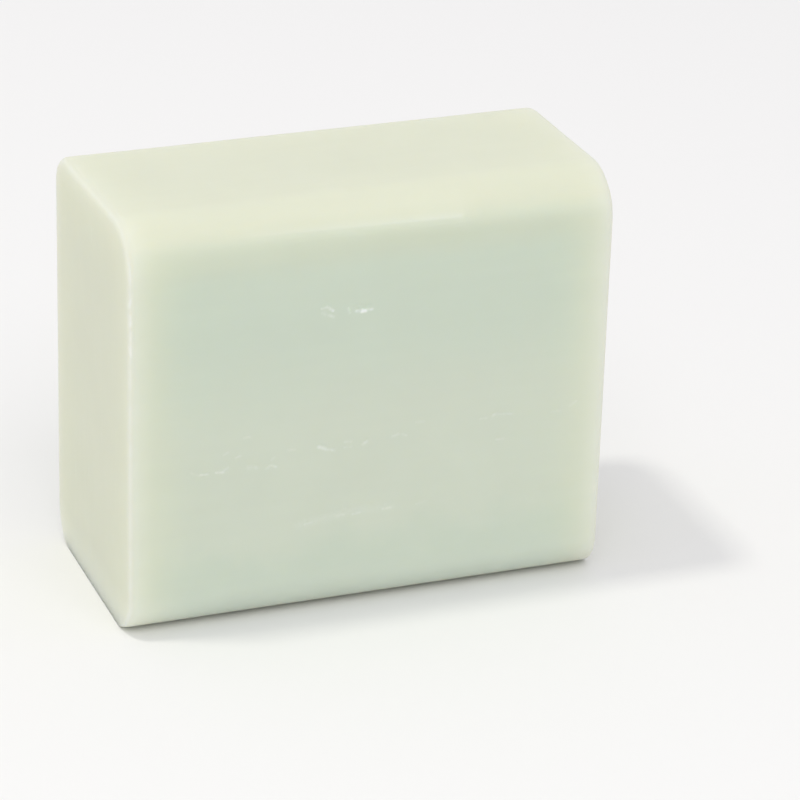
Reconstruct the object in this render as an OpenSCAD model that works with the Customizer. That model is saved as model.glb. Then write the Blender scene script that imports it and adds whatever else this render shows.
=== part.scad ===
// A block of soap that stands on one of its long narrow sides.
// +X runs along the block's length, +Y from the front broad face to the back one, +Z up.
// The origin is the centre of the face that the block stands on.

/* [Block] */
// Length of the block, from cut end to cut end
block_length = 69; // [55:0.5:90]
// Height of the block as it stands
block_height = 60.5; // [45:0.5:80]
// Depth of the block, from the front broad face to the back one
block_depth = 35; // [26:0.5:45]

/* [Edges] */
// Radius of the two long edges at the top
top_edge_radius = 6.5; // [4:0.5:10]
// Radius of the two long edges at the bottom
bottom_edge_radius = 6; // [4:0.5:10]
// Radius of the fine rounding around each cut end
end_edge_radius = 1.25; // [0.5:0.25:1.75]

/* [Hidden] */
$fn = 96;
// Height between the top and bottom roundings, where the broad faces are flat
waist_height = block_height - top_edge_radius - bottom_edge_radius;

// Plan of the block at its waist: a rectangle whose corners carry the fine rounding
module waist_outline() {
    inner = [block_length - 2 * end_edge_radius, block_depth - 2 * end_edge_radius];
    square([block_length, inner.y], center = true);
    square([inner.x, block_depth], center = true);
    for (x = [-1, 1], y = [-1, 1])
        translate([x * inner.x / 2, y * inner.y / 2])
            circle(r = end_edge_radius);
}

// Section of a rim, of the given thickness along +X and the block's length along Y.
// Its outer side meets the cut ends in the fine rounding.
module rim_outline(thickness) {
    root = thickness - end_edge_radius;
    inner_length = block_length - 2 * end_edge_radius;
    translate([0, -block_length / 2])
        square([root, block_length]);
    translate([0, -inner_length / 2])
        square([thickness, inner_length]);
    for (end = [-1, 1])
        translate([root, end * inner_length / 2])
            circle(r = end_edge_radius);
}

// One rim of the block, standing on z = 0: a flat band between two quarter roundings
module rim(radius) {
    band_depth = block_depth - 2 * radius;
    rotate([0, -90, -90])
        linear_extrude(height = band_depth, center = true)
            rim_outline(radius);
    for (side = [0, 1])
        mirror([0, side, 0])
            translate([0, band_depth / 2, 0])
                rotate([0, -90, 0])
                    rotate_extrude(angle = 90)
                        rim_outline(radius);
}

// The whole block: a straight waist between its top rim and its bottom rim
module soap_block() {
    color("#cbd8c2") {
        translate([0, 0, bottom_edge_radius])
            linear_extrude(height = waist_height)
                waist_outline();
        translate([0, 0, block_height - top_edge_radius])
            rim(top_edge_radius);
        translate([0, 0, bottom_edge_radius])
            mirror([0, 0, 1])
                rim(bottom_edge_radius);
    }
}

soap_block();
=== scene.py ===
"""A block of pale green translucent soap on its long narrow side, under soft studio light."""

from math import atan2, cos, pi, radians, sin

import bmesh
import bpy
import numpy as np
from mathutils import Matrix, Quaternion, Vector, noise


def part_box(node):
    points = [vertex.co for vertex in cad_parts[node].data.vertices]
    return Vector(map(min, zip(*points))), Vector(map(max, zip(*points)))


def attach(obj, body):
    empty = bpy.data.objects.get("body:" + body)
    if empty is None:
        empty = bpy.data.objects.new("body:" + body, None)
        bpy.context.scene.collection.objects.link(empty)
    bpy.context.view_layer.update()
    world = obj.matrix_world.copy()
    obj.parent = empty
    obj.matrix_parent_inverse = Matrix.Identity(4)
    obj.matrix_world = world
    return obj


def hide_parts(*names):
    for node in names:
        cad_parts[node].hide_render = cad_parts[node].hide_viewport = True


MM = 0.001

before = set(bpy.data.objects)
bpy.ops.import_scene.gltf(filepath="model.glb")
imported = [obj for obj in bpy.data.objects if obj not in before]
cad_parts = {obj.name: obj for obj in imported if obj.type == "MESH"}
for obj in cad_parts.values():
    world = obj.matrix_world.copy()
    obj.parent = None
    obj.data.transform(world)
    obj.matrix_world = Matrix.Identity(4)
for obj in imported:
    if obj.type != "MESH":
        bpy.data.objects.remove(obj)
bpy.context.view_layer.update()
block_low, block_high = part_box("soap_block")
length, depth, height = (block_high - block_low) / MM    # the block is worked out in mm, and made in metres


# ---------------------------------------------------------------- camera

def add_camera():
    """Looks down at the block's front broad face and left end through a long lens."""
    azimuth, elevation, roll = radians(-21.36), radians(25.0), radians(1.73)
    distance = 546.5 * MM
    target = Vector((10.68, 0, 22.29)) * MM
    backward = Vector((sin(azimuth) * cos(elevation), -cos(azimuth) * cos(elevation), sin(elevation)))
    data = bpy.data.cameras.new("camera")
    data.sensor_width = 36
    data.lens = 174.9
    data.clip_start = 0.01
    data.clip_end = 20
    camera = bpy.data.objects.new("camera", data)
    camera.rotation_mode = "QUATERNION"
    camera.rotation_quaternion = (-backward).to_track_quat("-Z", "Y") @ Quaternion((0, 0, 1), roll)
    camera.location = target + backward * distance
    bpy.context.collection.objects.link(camera)
    bpy.context.scene.camera = camera


# ---------------------------------------------------------------- the block's section

SKIN = 0.10           # the block before wear lies this far inside the CAD box, as room for its unevenness
END_RADIUS = 1.2      # fine rounding around each cut end
FOOT_HEIGHT = 4       # over this height that rounding gives way to a sharp lower edge
# How far the top dips below the box at its front, how far it falls from there to the back, and the radius of
# each long edge, at the left end and the right one
TOP_DIP = (0.45, 0)
TOP_FALL = (1.35, 0.9)
EDGE_RADII = {
    "top_front": (7.0, 7.4),
    "top_back": (4.6, 7.8),
    "bottom_back": (5.4, 5.4),
    "bottom_front": (5.9, 5.5),
}
ARC_STEPS, DEPTH_STEPS, HEIGHT_STEPS, LENGTH_STEPS, END_STEPS = 10, 36, 80, 112, 7

half_length = length / 2 - SKIN
half_depth = depth / 2 - SKIN


def between(pair, along):
    return pair[0] * (1 - along) + pair[1] * along


def roundings(along):
    """The long edges' roundings in one section, clockwise: centre, radius, and both end angles of each."""
    top, fall = height - SKIN - between(TOP_DIP, along), between(TOP_FALL, along)
    corners = [(-half_depth, top), (half_depth, top - fall), (half_depth, 0), (-half_depth, 0)]
    tilt = atan2(fall, 2 * half_depth)
    facing = [pi, pi / 2 - tilt, 0, -pi / 2, -pi]    # front, top, back, bottom and front again
    found = []
    for corner, pair, start, stop in zip(corners, EDGE_RADII.values(), facing, facing[1:]):
        radius = between(pair, along)
        inward = np.array((cos(start) + cos(stop), sin(start) + sin(stop)))
        centre = np.array(corner) - inward * radius / (1 + cos(start - stop))
        found.append((centre, radius, start, stop))
    return found


def arc(centre, radius, start, stop):
    angles = [start + (stop - start) * k / ARC_STEPS for k in range(ARC_STEPS + 1)]
    return [centre + radius * np.array((cos(angle), sin(angle))) for angle in angles]


def section(along, inset):
    """The block's outline in the YZ plane, as four sides that run from one rounding's middle to the next."""
    corners = roundings(along)
    sides = []
    for i, (centre, radius, start, stop) in enumerate(corners):
        next_centre, next_radius, next_start, next_stop = corners[(i + 1) % 4]
        leaving = arc(centre, radius - inset, (start + stop) / 2, stop)
        arriving = arc(next_centre, next_radius - inset, next_start, (next_start + next_stop) / 2)
        steps = DEPTH_STEPS if i % 2 == 0 else HEIGHT_STEPS
        straight = [leaving[-1] + (arriving[0] - leaving[-1]) * k / steps for k in range(1, steps)]
        side = np.array(leaving + straight + arriving)
        side[:, 1] -= inset * np.clip(1 - (side[:, 1] - inset) / FOOT_HEIGHT, 0, 1)
        sides.append(side)
    return sides


def stations():
    """The sections along the length: (x, inset) from the left end to the right one."""
    turn = [pi / 2 * k / END_STEPS for k in range(END_STEPS + 1)]
    left = [(-half_length + END_RADIUS * (1 - cos(t)), END_RADIUS * (1 - sin(t))) for t in turn]
    right = [(-x, inset) for x, inset in reversed(left)]
    straight = half_length - END_RADIUS
    middle = [(-straight + 2 * straight * k / LENGTH_STEPS, 0) for k in range(1, LENGTH_STEPS)]
    return left + middle + right


def cap_grid(sides):
    """Fills an end: a grid whose border follows the four sides of its section."""
    top, back, bottom, front = sides[0], sides[1], sides[2][::-1], sides[3][::-1]
    s = np.linspace(0, 1, len(top))[None, :, None]
    t = np.linspace(0, 1, len(back))[:, None, None]
    across = (1 - t) * top[None] + t * bottom[None]
    down = (1 - s) * front[:, None] + s * back[:, None]
    corners = (
        (1 - s) * (1 - t) * top[0] + s * (1 - t) * top[-1] + (1 - s) * t * bottom[0] + s * t * bottom[-1]
    )
    return across + down - corners


def close_end(mesh, ring, x, inset, flip):
    """Closes one end of the tube of rings with a grid of quads."""
    grid = cap_grid(section(x / length + 0.5, inset))
    last_row, last_column = grid.shape[0] - 1, grid.shape[1] - 1
    border = (
        [(0, c) for c in range(last_column)] + [(r, last_column) for r in range(last_row)]
        + [(last_row, c) for c in range(last_column, 0, -1)] + [(r, 0) for r in range(last_row, 0, -1)]
    )
    verts = dict(zip(border, ring))
    for r in range(1, last_row):
        for c in range(1, last_column):
            verts[r, c] = mesh.verts.new((x, *grid[r, c]))
    for r in range(last_row):
        for c in range(last_column):
            face = (verts[r, c], verts[r, c + 1], verts[r + 1, c + 1], verts[r + 1, c])
            mesh.faces.new(face[::-1] if flip else face)


def smooth_block():
    """The block as a closed grid of quads, before its marks and wear, in mm."""
    mesh = bmesh.new()
    rings = []
    places = stations()
    for x, inset in places:
        outline = np.concatenate([side[:-1] for side in section(x / length + 0.5, inset)])
        rings.append([mesh.verts.new((x, y, z)) for y, z in outline])
    for ring, following in zip(rings, rings[1:]):
        for i in range(len(ring)):
            j = (i + 1) % len(ring)
            mesh.faces.new((ring[i], ring[j], following[j], following[i]))
    close_end(mesh, rings[0], *places[0], flip=False)
    close_end(mesh, rings[-1], *places[-1], flip=True)
    bmesh.ops.recalc_face_normals(mesh, faces=mesh.faces)
    return mesh


# ---------------------------------------------------------------- marks

# Furrows in the front broad face: (x, z) of both ends of the light lower lip, width, depth, and how chalky;
# the whitening on the lip is partly a painted highlight of the light that the lip catches
FURROWS = [
    # a bruise below the top edge: a ring of small scrapes
    ((-7.6, 45.9), (-6.8, 46.0), 0.5, 0.03, 0.24), ((-6.8, 46.1), (-6.0, 45.4), 0.6, 0.04, 0.45),
    ((-6.5, 44.8), (-5.9, 44.5), 0.6, 0.04, 0.33), ((-7.5, 45.3), (-7.0, 44.9), 0.6, 0.03, 0.15),
    ((-3.8, 45.5), (-3.6, 44.8), 0.5, 0.04, 0.30),
    # and beside it a dent with a bright lower lip, partly a painted highlight
    ((-2.5, 44.9), (-1.2, 44.9), 1.8, 0.11, 0.03), ((-2.8, 44.9), (-2.0, 44.9), 0.6, 0.03, 0.39),
    ((-1.9, 44.8), (-1.3, 44.8), 0.8, 0.05, 0.65), ((-1.2, 44.9), (-0.4, 44.9), 0.6, 0.03, 0.36),
    # the line of short dashes at mid height
    ((-25.7, 24.3), (-24.6, 23.7), 0.5, 0.02, 0.11), ((-24.4, 23.8), (-23.3, 23.7), 0.4, 0.04, 0.26),
    ((-22.2, 23.8), (-21.1, 23.7), 0.5, 0.04, 0.26), ((-21.1, 24.0), (-20.5, 24.3), 0.5, 0.03, 0.17),
    ((-21.1, 26.3), (-20.5, 26.6), 0.5, 0.03, 0.17), ((-19.4, 25.6), (-18.8, 25.8), 0.5, 0.03, 0.17),
    ((-17.6, 23.9), (-16.4, 23.7), 0.9, 0.03, 0.14), ((-15.1, 23.3), (-14.6, 23.7), 0.5, 0.03, 0.15),
    ((-14.3, 23.7), (-13.7, 23.4), 0.5, 0.04, 0.26), ((-14.3, 24.5), (-13.9, 24.9), 0.5, 0.02, 0.12),
    ((-12.0, 25.7), (-11.0, 25.6), 0.6, 0.02, 0.12), ((-7.6, 25.5), (-6.7, 25.1), 0.8, 0.05, 0.32),
    ((-6.6, 25.0), (-5.4, 24.7), 0.7, 0.03, 0.20), ((-3.9, 25.7), (-2.9, 25.6), 0.4, 0.02, 0.15),
    ((-3.9, 24.9), (-2.9, 24.8), 0.4, 0.02, 0.14), ((-1.2, 25.0), (-0.7, 25.3), 0.7, 0.05, 0.21),
    ((3.1, 25.5), (3.9, 25.8), 0.6, 0.03, 0.17), ((4.5, 25.7), (5.1, 25.4), 0.5, 0.02, 0.14),
    ((6.5, 27.2), (7.5, 27.2), 0.6, 0.02, 0.11), ((15.8, 26.4), (16.9, 26.4), 0.4, 0.02, 0.14),
    ((17.6, 26.6), (18.2, 26.9), 0.6, 0.05, 0.19), ((18.4, 26.8), (20.5, 26.5), 0.4, 0.03, 0.15),
    ((18.3, 22.9), (19.4, 22.9), 0.4, 0.03, 0.17), ((26.5, 26.0), (27.6, 26.0), 0.6, 0.03, 0.11),
    ((29.0, 26.5), (30.0, 27.2), 0.5, 0.03, 0.15), ((-18.3, 28.4), (-17.5, 28.4), 0.6, 0.03, 0.12),
    # the long faint scrape below it: a broad smear with a few brighter bits
    ((-10.5, 14.1), (-2.6, 15.1), 1.8, 0.02, 0.06), ((-3.6, 15.4), (3.1, 14.9), 1.8, 0.02, 0.06),
    ((-9.4, 14.1), (-8.4, 14.3), 0.5, 0.03, 0.20), ((-4.9, 14.7), (-3.8, 14.7), 0.5, 0.03, 0.26),
    ((-2.5, 14.6), (-1.5, 14.7), 0.5, 0.03, 0.20), ((1.9, 14.8), (3.1, 14.8), 0.6, 0.03, 0.23),
    ((6.8, 14.8), (7.9, 14.9), 0.5, 0.02, 0.11),
]
# Short upright furrows in the left cut end: (y, z) of the middle, and length, in mm
CUTS = [
    ((-0.4, 53.2), 2.2), ((-0.9, 43.9), 1.6), ((2.6, 35.0), 2.0), ((-4.5, 38.1), 1.8), ((-7.0, 48.7), 1.5),
    ((-2.2, 35.5), 1.4), ((8.1, 14.3), 2.4), ((1.6, 17.3), 1.8), ((-4.4, 25.3), 1.6), ((-9.8, 11.9), 1.8),
    ((0.8, 5.9), 2.0), ((10.8, 39.1), 1.6),
]
CUT_WIDTH, CUT_DEPTH, CUT_CHALK = 0.4, 0.03, 0.10
# A furrow's middle lies this share of its width above its lip, and the lip is this many times as wide
LIP_DROP, LIP_WIDTH = 0.3, 1.1
RAGGED_SIZE = 0.4     # the marks are broken up at this scale
# The crest along the top front rounding: x where it starts and stops, its angle above the horizontal at both
CREST_X = (-21.0, 12.6)
CREST_ANGLE = (36.0, 29.5)
# How high the crest stands, and how chalky it is; that whitening is partly a painted highlight along the
# crest
CREST_HEIGHT, CREST_CHALK_AND_HIGHLIGHT = 0.10, 0.16
CREST_ABOVE, CREST_BELOW = 1.0, 0.4       # how far the crest itself reaches on either side of its line
# The rounding is fuller at the crest than a round one, so that it bends sharply there: by this much at most
SHOULDER = 0.7
SHOULDER_ABOVE, SHOULDER_BELOW = 6.0, 2.8
# How chalky the ends' roundings are, their chips, and the face beside them; on the roundings and chips this
# is partly a painted highlight along the end edges
RIM_CHALK_AND_HIGHLIGHT, CHIP_CHALK_AND_HIGHLIGHT, RUBBED_CHALK = 0.40, 0.7, 0.10
CHIP_SIZE, CHIP_DEPTH = 1.1, 0.12
# The front left edge is broken between these heights
BROKEN_Z = (38.5, 54.5)
# How far the middle of each broad face has sunk
DISH = 0.25
REFINE_WITHIN = 1.1   # faces this close to a mark are split, so that its shape has points to live on
SPLITS = 3


def segment_distance(points, start, stop):
    """Distance from each 2-D point to a line between two points, and the share of the line at its foot."""
    start, stop = np.array(start), np.array(stop)
    line = stop - start
    share = np.clip((points - start) @ line / (line @ line), 0, 1)
    foot = start + share[:, None] * line
    return np.linalg.norm(points - foot, axis=1), share


def crest_place(points):
    """Each point's distance below the crest along the rounding, and its share of the crest's length."""
    share = (points[:, 0] - CREST_X[0]) / (CREST_X[1] - CREST_X[0])
    angle = np.radians(between(CREST_ANGLE, share))
    below = np.empty(len(points))
    for i, point in enumerate(points):
        centre, radius = roundings(point[0] / length + 0.5)[0][:2]
        own = atan2(point[2] - centre[1], centre[0] - point[1])
        below[i] = (angle[i] - own) * radius
    return below, share


def near_marks(points):
    """Whether each point is close enough to a mark for the mesh to be split there."""
    front = (points[:, 1] < -half_depth + 0.1) & (np.abs(points[:, 0]) < half_length - END_RADIUS)
    left = points[:, 0] < -half_length + 0.05
    near = np.zeros(len(points), bool)
    for start, stop, *_ in FURROWS:
        near |= front & (segment_distance(points[:, [0, 2]], start, stop)[0] < REFINE_WITHIN)
    for (y, z), span in CUTS:
        distance = segment_distance(points[:, [1, 2]], (y, z - span / 2), (y, z + span / 2))[0]
        near |= left & (distance < REFINE_WITHIN)
    on_rounding = np.flatnonzero((points[:, 1] < -half_depth + 3) & (points[:, 2] > height - 6))
    below, share = crest_place(points[on_rounding])
    near[on_rounding] |= (np.abs(below) < REFINE_WITHIN) & (share > -0.01) & (share < 1.03)
    near |= (
        (points[:, 0] < -half_length + END_RADIUS) & (points[:, 1] < -half_depth + END_RADIUS)
        & (points[:, 2] > BROKEN_Z[0] - 2) & (points[:, 2] < BROKEN_Z[1] + 1)
    )
    return near


def refine(mesh):
    """Splits the faces near the marks, and seats the new points on the rounding that they belong to."""
    edges = list(mesh.edges)
    middles = np.array([(edge.verts[0].co + edge.verts[1].co) / 2 for edge in edges])
    chosen = [edge for edge, near in zip(edges, near_marks(middles)) if near]
    bmesh.ops.subdivide_edges(mesh, edges=chosen, cuts=SPLITS, use_grid_fill=True)
    crowded = [face for face in mesh.faces if len(face.verts) > 4]
    bmesh.ops.triangulate(mesh, faces=crowded)
    for vert in mesh.verts:
        if abs(vert.co.x) > half_length - END_RADIUS:
            continue
        for centre, radius, start, stop in roundings(vert.co.x / length + 0.5):
            offset = np.array(vert.co.yz) - centre
            turned = (start - atan2(offset[1], offset[0])) % (2 * pi)
            if turned < start - stop:
                vert.co.y, vert.co.z = centre + offset * radius / np.linalg.norm(offset)
                break


# ---------------------------------------------------------------- wear and painted highlights

def field(points, size, seed, stretch=(1, 1, 1)):
    """Smooth random values from about -1 to 1, with features of the given size in mm."""
    offset = Vector((seed * 17.3, seed * 5.1, seed * 9.7))
    scaled = points / (np.array(stretch) * size)
    return np.array([noise.noise(Vector(point) + offset) for point in scaled])


def bump_profile(distance, width):
    """One at the middle of a mark and zero from its edge on."""
    share = np.clip(1 - (2 * distance / width) ** 2, 0, 1)
    return share * share


def furrow_shape(points, normals):
    """How far the furrows and cuts lower each point, in mm, and how chalky they leave it; on the furrows'
    lower lips that whitening is partly a painted highlight.
    """
    front = np.clip(-normals[:, 1], 0, 1) ** 4
    left = np.clip(-normals[:, 0], 0, 1) ** 4
    ragged = np.clip(1 + field(points, RAGGED_SIZE, seed=3), 0, 2)
    drop, chalk_and_highlight = np.zeros(len(points)), np.zeros(len(points))
    for start, stop, width, deep, chalky in FURROWS:
        middle = [(x, z + width * LIP_DROP) for x, z in (start, stop)]
        distance = segment_distance(points[:, [0, 2]], *middle)[0]
        drop += front * deep * ragged * bump_profile(distance, width)
        distance = segment_distance(points[:, [0, 2]], start, stop)[0]
        chalk_and_highlight = np.maximum(chalk_and_highlight, front * chalky * ragged * bump_profile(distance, width * LIP_WIDTH))
    for (y, z), span in CUTS:
        distance = segment_distance(points[:, [1, 2]], (y, z - span / 2), (y, z + span / 2))[0]
        shape = left * ragged * bump_profile(distance, CUT_WIDTH)
        drop += CUT_DEPTH * shape
        chalk_and_highlight = np.maximum(chalk_and_highlight, CUT_CHALK * shape)
    return drop, chalk_and_highlight


def crest_shape(points, normals):
    """How far the top front rounding is raised towards its crest, and how chalky the crest is, which is
    partly a painted highlight along it.
    """
    raised, chalk_and_highlight = np.zeros(len(points)), np.zeros(len(points))
    chosen = np.flatnonzero((points[:, 1] < 0) & (points[:, 2] > height - 10))
    below, share = crest_place(points[chosen])
    shoulder = np.clip(np.where(below < 0, 1 + below / SHOULDER_ABOVE, 1 - below / SHOULDER_BELOW), 0, 1)
    reach = 0.4 + 0.6 * np.clip(share, 0, 1) - 0.5 * np.clip((share - 1) / 0.06, 0, 1)
    crest = np.clip(np.where(below < 0, 1 + below / CREST_ABOVE, 1 - below / CREST_BELOW), 0, 1) ** 1.5
    along = np.clip(share, 0, 1) ** 0.7 * np.clip((1 - share) / 0.02, 0, 1) * (share > 0)
    raised[chosen] = SHOULDER * reach * np.sin(shoulder * pi / 2) ** 2 + CREST_HEIGHT * crest * along
    chalk_and_highlight[chosen] = CREST_CHALK_AND_HIGHLIGHT * crest * along
    return raised * np.clip(1.5 - 1.5 * np.abs(normals[:, 0]), 0, 1), chalk_and_highlight


def dish(points, normals):
    """How far the broad faces have sunk between their edges as the soap dried."""
    across = np.clip(1 - (points[:, 0] / half_length) ** 2, 0, 1)
    upward = np.clip(1 - ((points[:, 2] - height / 2) / (height / 2 - 5)) ** 2, 0, 1)
    return DISH * across * upward * np.abs(normals[:, 1]) ** 4


def edge_wear_and_highlight(points, normals):
    """How chalky the end roundings are, partly as a painted highlight along them, and how much is broken off
    them.
    """
    rim = np.abs(points[:, 0]) - (half_length - END_RADIUS)
    turn = (rim > 0) * np.clip(1 - np.abs(np.abs(normals[:, 0]) - 0.74) / 0.26, 0, 1)
    turn *= 1 - 0.6 * np.clip(normals[:, 2], 0, 1)
    patchy = 0.75 + 0.35 * field(points, 3.0, seed=5) + 0.2 * field(points, 0.9, seed=6)
    rubbed = np.clip(1 + rim / 2.5, 0, 1) * np.clip(-normals[:, 1], 0, 1) * (rim < END_RADIUS * 0.6)
    broken_middle, broken_half = (BROKEN_Z[0] + BROKEN_Z[1]) / 2, (BROKEN_Z[1] - BROKEN_Z[0]) / 2
    broken = np.clip(1.2 - (np.abs(points[:, 2] - broken_middle) / broken_half) ** 4, 0, 1)
    broken *= (points[:, 0] < 0) & (points[:, 1] < 0)
    chips = np.clip(field(points, CHIP_SIZE, seed=8) + 0.1, 0, 1) * turn
    # the painted highlight is strongest on the left end, where the key light falls
    turn *= np.where(points[:, 0] < 0, 1, 0.4)
    chalk_and_highlight = RIM_CHALK_AND_HIGHLIGHT * turn * patchy + CHIP_CHALK_AND_HIGHLIGHT * chips * broken + RUBBED_CHALK * rubbed * patchy
    return chalk_and_highlight, CHIP_DEPTH * chips * (0.3 + broken)


def wear(data):
    """Moves the points for unevenness, marks and wear, and stores how chalky each one is, painted highlights
    included.
    """
    count = len(data.vertices)
    flat = np.empty(count * 3)
    data.vertices.foreach_get("co", flat)
    points = flat.reshape(count, 3).copy()
    data.vertices.foreach_get("normal", flat)
    normals = flat.reshape(count, 3).copy()
    drop, chalk_and_highlight = furrow_shape(points, normals)
    edge_chalk_and_highlight, chipped = edge_wear_and_highlight(points, normals)
    raised, crest_chalk_and_highlight = crest_shape(points, normals)
    uneven = 0.04 * field(points, 19, seed=1) + 0.01 * field(points, 2.2, seed=2, stretch=(9, 1, 1))
    shift = uneven + raised - dish(points, normals) - drop - chipped
    shift *= np.clip(1 + normals[:, 2] * 4, 0, 1)    # the face that it stands on stays flat
    data.vertices.foreach_set("co", ((points + normals * shift[:, None]) * MM).ravel())
    attribute = data.attributes.new("chalk_and_highlight", "FLOAT", "POINT")
    attribute.data.foreach_set("value", np.clip(np.maximum(chalk_and_highlight, edge_chalk_and_highlight) + crest_chalk_and_highlight, 0, 1))


def add_block():
    mesh = smooth_block()
    refine(mesh)
    data = bpy.data.meshes.new("soap")
    mesh.to_mesh(data)
    mesh.free()
    # the face that it stands on is flat shaded, so that the ends' lower edges stay sharp
    for face in data.polygons:
        face.use_smooth = any(data.vertices[i].co.z > 0.01 for i in face.vertices)
    wear(data)
    block = bpy.data.objects.new("worn_soap_block", data)
    bpy.context.collection.objects.link(block)
    return block


# ---------------------------------------------------------------- materials

class Graph:
    """Short calls for laying out a material's nodes."""

    def __init__(self, name):
        self.material = bpy.data.materials.new(name)
        self.material.use_nodes = True
        self.tree = self.material.node_tree
        self.shader = self.tree.nodes["Principled BSDF"]

    def node(self, kind, *inputs, **settings):
        """Adds a node; each input is a value, another node's output, or None to leave it alone."""
        made = self.tree.nodes.new(kind)
        for key, value in settings.items():
            setattr(made, key, value)
        for socket, value in zip(made.inputs, inputs):
            self.feed(socket, value)
        return made.outputs[0]

    def feed(self, socket, value):
        if isinstance(value, bpy.types.NodeSocket):
            self.tree.links.new(value, socket)
        elif value is not None:
            socket.default_value = value

    def math(self, operation, a, b=None, c=None):
        return self.node("ShaderNodeMath", a, b, c, operation=operation)

    def ramp(self, value, low, high):
        """A smooth step: 0 where the value is low, 1 where it is high."""
        return self.node("ShaderNodeMapRange", value, low, high, 0, 1, interpolation_type="SMOOTHSTEP")

    def noise(self, place, size, stretch=(1, 1, 1), detail=2):
        """Noise around 0.5, with features of the given size in metres."""
        scaled = self.node("ShaderNodeMapping", place, vector_type="POINT")
        scaled.node.inputs["Scale"].default_value = [1 / (size * s) for s in stretch]
        made = self.node("ShaderNodeTexNoise", scaled)
        made.node.inputs["Scale"].default_value = 1
        made.node.inputs["Detail"].default_value = detail
        return made

    def shaded(self, colour, share):
        """A colour, times a share."""
        made = self.node("ShaderNodeVectorMath", colour, operation="SCALE")
        self.feed(made.node.inputs["Scale"], share)
        return made

    def mix(self, share, a, b):
        """A colour between two others."""
        made = self.tree.nodes.new("ShaderNodeMix")
        made.data_type = "RGBA"
        for name, value in (("Factor_Float", share), ("A_Color", a), ("B_Color", b)):
            self.feed(next(s for s in made.inputs if s.identifier == name), value)
        return next(s for s in made.outputs if s.identifier == "Result_Color")


# The faces' colours are lit, glowing and shaded copies of one soap colour: how light falls and glows through
# the edges is painted into them
END_LIT_COLOUR = (0.692, 0.718, 0.571, 1)      # the cut ends, more yellow than the rest: painted light from the key and its glow through the soap
TOP_LIT_COLOUR = (0.665, 0.691, 0.555, 1)      # the narrow top face and its roundings, painted a little darker than the ends for the light that falls on it
RIM_GLOW_COLOUR = (0.663, 0.707, 0.571, 1)      # the broad faces near their ends and the top: painted glow of light through the thin edges
DEEP_COLOUR = (0.615, 0.688, 0.573, 1)     # the middle of the broad faces, without painted glow
WARM_COLOUR = (0.646, 0.700, 0.583, 1)     # a cloudy band across their lower half
UPPER_SHADE_COLOUR = (0.612, 0.668, 0.543, 1)    # painted shade: their middle just below the top, darker and warmer against the light that falls there
# whitish: chalky places, and painted highlights
CHALK_AND_HIGHLIGHT_COLOUR = (0.87, 0.90, 0.88, 1)


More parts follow.
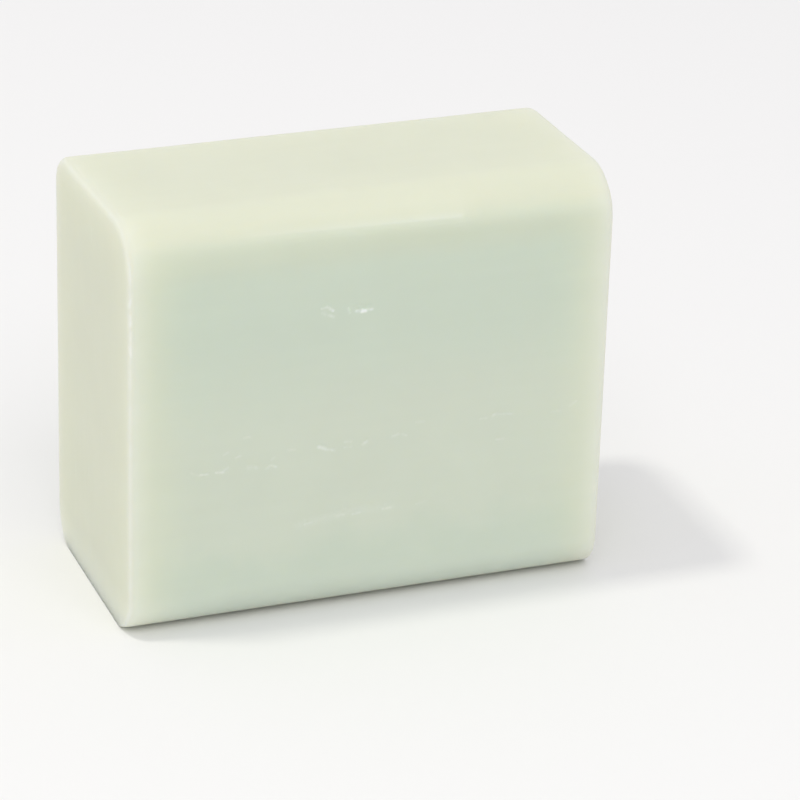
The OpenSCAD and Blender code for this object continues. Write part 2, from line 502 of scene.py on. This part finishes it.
def soap_material():
    graph = Graph("soap")
    shader = graph.shader
    coordinates = graph.node("ShaderNodeTexCoord").node
    place = coordinates.outputs["Object"]
    at = graph.node("ShaderNodeSeparateXYZ", place).node.outputs
    normal = graph.node("ShaderNodeSeparateXYZ", coordinates.outputs["Normal"]).node.outputs
    facing_x, facing_y = (graph.math("ABSOLUTE", normal[axis]) for axis in "XY")
    # clouding in the soap
    cloud = graph.noise(place, 9 * MM, detail=3)
    # painted glow: the broad faces are lighter and yellower near the ends and the top, where light glows
    # through the thin edges, and cooler and deeper away from them
    from_end = graph.math("SUBTRACT", half_length * MM, graph.math("ABSOLUTE", at["X"]))
    from_top = graph.math("SUBTRACT", height * MM, at["Z"])
    deep = graph.math("MULTIPLY", graph.ramp(from_end, 0, 9 * MM), graph.ramp(from_top, 1.2 * MM, 6.5 * MM))
    deep = graph.math("MULTIPLY", deep, graph.ramp(facing_y, 0.35, 0.9))
    wavering = graph.math("MULTIPLY_ADD", cloud, 12 * MM, at["Z"])
    band = graph.math(
        "MULTIPLY", graph.ramp(wavering, 13.5 * MM, 21.5 * MM), graph.ramp(wavering, 49.5 * MM, 33.5 * MM)
    )
    # painted light: the lit top and ends, and the painted glow beside them, over the middle of the broad
    # faces
    rim = graph.mix(graph.ramp(facing_x, 0.4, 0.9), TOP_LIT_COLOUR, END_LIT_COLOUR)
    rim = graph.mix(graph.ramp(facing_y, 0.75, 1), rim, RIM_GLOW_COLOUR)
    middle = graph.mix(band, DEEP_COLOUR, WARM_COLOUR)
    # painted shade just below the top
    middle = graph.mix(graph.ramp(from_top, 10 * MM, 6 * MM), middle, UPPER_SHADE_COLOUR)
    colour = graph.mix(deep, rim, middle)
    # streaks along the block or, on the cut ends, upright
    along = graph.noise(place, 1.6 * MM, stretch=(14, 1, 1))
    upright = graph.noise(place, 1.2 * MM, stretch=(1, 1, 10))
    streaks = graph.math(
        "ADD", graph.math("MULTIPLY", upright, facing_x),
        graph.math("MULTIPLY", along, graph.math("SUBTRACT", 1, facing_x)),
    )
    shade = graph.math(
        "MULTIPLY", graph.math("MULTIPLY_ADD", cloud, 0.05, 0.975),
        graph.math("MULTIPLY_ADD", streaks, 0.02, 0.99),
    )
    colour = graph.shaded(colour, shade)
    # painted light: the foot is paler towards the left end
    from_left = graph.math("ADD", at["X"], half_length * MM)
    foot = graph.math("MULTIPLY", graph.ramp(from_left, 18 * MM, 0), graph.ramp(at["Z"], 7 * MM, 0))
    colour = graph.shaded(colour, graph.math("MULTIPLY_ADD", foot, 0.16, 1))
    # rubbed and cut places are chalky, and painted highlights lie on the crest, the furrows' lower lips and
    # the end edges
    chalk_and_highlight = graph.node("ShaderNodeAttribute", attribute_name="chalk_and_highlight").node.outputs["Fac"]
    colour = graph.mix(chalk_and_highlight, colour, CHALK_AND_HIGHLIGHT_COLOUR)
    grain = graph.noise(place, 0.5 * MM, detail=3)
    roughness = graph.math("MULTIPLY_ADD", grain, 0.08, 0.50)
    roughness = graph.math("MULTIPLY_ADD", chalk_and_highlight, 0.1, roughness)
    relief = graph.math("ADD", graph.math("MULTIPLY", grain, 0.3), streaks)
    bump = graph.tree.nodes.new("ShaderNodeBump")
    bump.inputs["Strength"].default_value = 0.6
    bump.inputs["Distance"].default_value = 0.01 * MM
    graph.feed(bump.inputs["Height"], relief)
    graph.feed(shader.inputs["Normal"], bump.outputs["Normal"])
    graph.feed(shader.inputs["Base Color"], colour)
    graph.feed(shader.inputs["Roughness"], roughness)
    shader.inputs["IOR"].default_value = 1.4
    shader.inputs["Specular IOR Level"].default_value = 0.3
    shader.inputs["Subsurface Weight"].default_value = 0.6
    shader.inputs["Subsurface Radius"].default_value = (1.0, 0.9, 0.7)
    shader.inputs["Subsurface Scale"].default_value = 14 * MM
    return graph.material


def floor_material():
    graph = Graph("floor")
    graph.shader.inputs["Base Color"].default_value = (0.86, 0.86, 0.852, 1)
    graph.shader.inputs["Roughness"].default_value = 0.9
    graph.shader.inputs["Specular IOR Level"].default_value = 0.2
    return graph.material


# ---------------------------------------------------------------- studio

def add_floor():
    half = 2.0
    data = bpy.data.meshes.new("floor")
    corners = [(-half, -half, 0), (half, -half, 0), (half, half, 0), (-half, half, 0)]
    data.from_pydata(corners, [], [(0, 1, 2, 3)])
    data.materials.append(floor_material())
    floor = bpy.data.objects.new("floor", data)
    floor.location.z = -0.02 * MM    # just clear of the block
    bpy.context.collection.objects.link(floor)


def add_area(name, place, size, power, colour):
    """A soft box that faces the block's middle."""
    data = bpy.data.lights.new(name, "AREA")
    data.shape = "RECTANGLE"
    data.size, data.size_y = size
    data.energy = power
    data.color = colour
    light = bpy.data.objects.new(name, data)
    light.location = place
    light.rotation_mode = "QUATERNION"
    light.rotation_quaternion = (Vector((0, 0, height * MM / 2)) - light.location).to_track_quat("-Z", "Y")
    bpy.context.collection.objects.link(light)


def add_studio():
    world = bpy.data.worlds.new("studio")
    world.use_nodes = True
    background = world.node_tree.nodes["Background"]
    background.inputs["Color"].default_value = (1.0, 0.99, 1.025, 1)
    background.inputs["Strength"].default_value = 0.746
    bpy.context.scene.world = world
    add_area("key", Vector((-0.311, 0.060, 0.948)) * 1.2, (0.11, 0.11), 3.08, colour=(1, 0.985, 0.90))
    add_area("fill", Vector((-0.1, -0.8, 1.0)), (1.0, 0.7), 3.82, colour=(1, 1, 1))
    bpy.context.scene.view_settings.view_transform = "Standard"


add_camera()
add_floor()
add_studio()

block = add_block()
block.data.materials.append(soap_material())
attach(block, "root")
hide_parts("soap_block")
